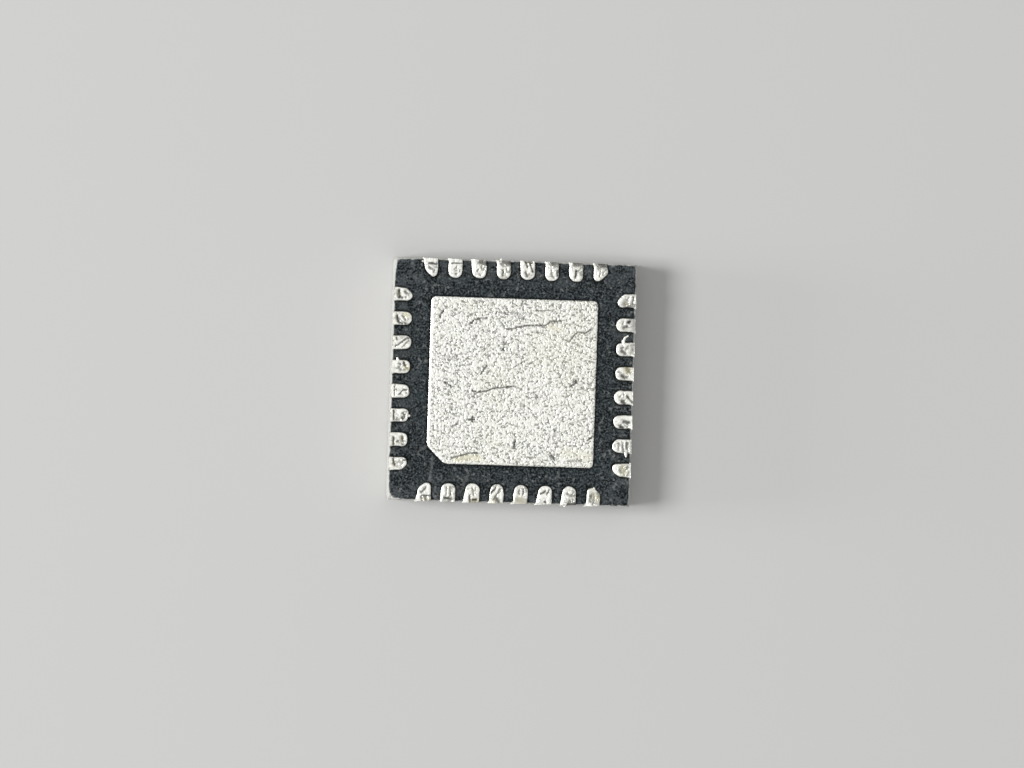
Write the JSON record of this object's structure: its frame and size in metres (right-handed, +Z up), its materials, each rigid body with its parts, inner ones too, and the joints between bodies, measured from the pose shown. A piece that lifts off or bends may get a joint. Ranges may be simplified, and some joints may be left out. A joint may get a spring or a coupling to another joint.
{
  "type": "integrated circuit",
  "caption": "Leadless quad integrated circuit package lying solder side up, with a square exposed pad, a row of flush terminals on each side and one cut pad corner.",
  "frame": {"origin": "middle of the marked face, on the surface that the package lies on", "axes": "+Z up out of the solder side, +X and +Y along the sawn sides, with the pad's cut corner at low X and low Y"},
  "size_m": [0.005, 0.005, 0.0009],
  "materials": {
    "mould_compound": "dark filled epoxy, sawn on the sides",
    "tin_plate": "matte grained tin plating on copper, scratched",
    "die_glue": "silver filled glue",
    "silicon": "ground and polished silicon",
    "gold_wire": "bright drawn gold"
  },
  "bodies": {
    "root": {"mould_body": "mould_compound", "die_paddle": "tin_plate", "die_attach": "die_glue", "silicon_die": "silicon", "bond_wires_left": "gold_wire", "bond_wires_top": "gold_wire", "bond_wires_right": "gold_wire", "bond_wires_bottom": "gold_wire", "terminal_01": "tin_plate", "terminal_02": "tin_plate", "terminal_03": "tin_plate", "terminal_04": "tin_plate", "terminal_05": "tin_plate", "terminal_06": "tin_plate", "terminal_07": "tin_plate", "terminal_08": "tin_plate", "terminal_09": "tin_plate", "terminal_10": "tin_plate", "terminal_11": "tin_plate", "terminal_12": "tin_plate", "terminal_13": "tin_plate", "terminal_14": "tin_plate", "terminal_15": "tin_plate", "terminal_16": "tin_plate", "terminal_17": "tin_plate", "terminal_18": "tin_plate", "terminal_19": "tin_plate", "terminal_20": "tin_plate", "terminal_21": "tin_plate", "terminal_22": "tin_plate", "terminal_23": "tin_plate", "terminal_24": "tin_plate", "terminal_25": "tin_plate", "terminal_26": "tin_plate", "terminal_27": "tin_plate", "terminal_28": "tin_plate", "terminal_29": "tin_plate", "terminal_30": "tin_plate", "terminal_31": "tin_plate", "terminal_32": "tin_plate"}
  },
  "joints": []
}
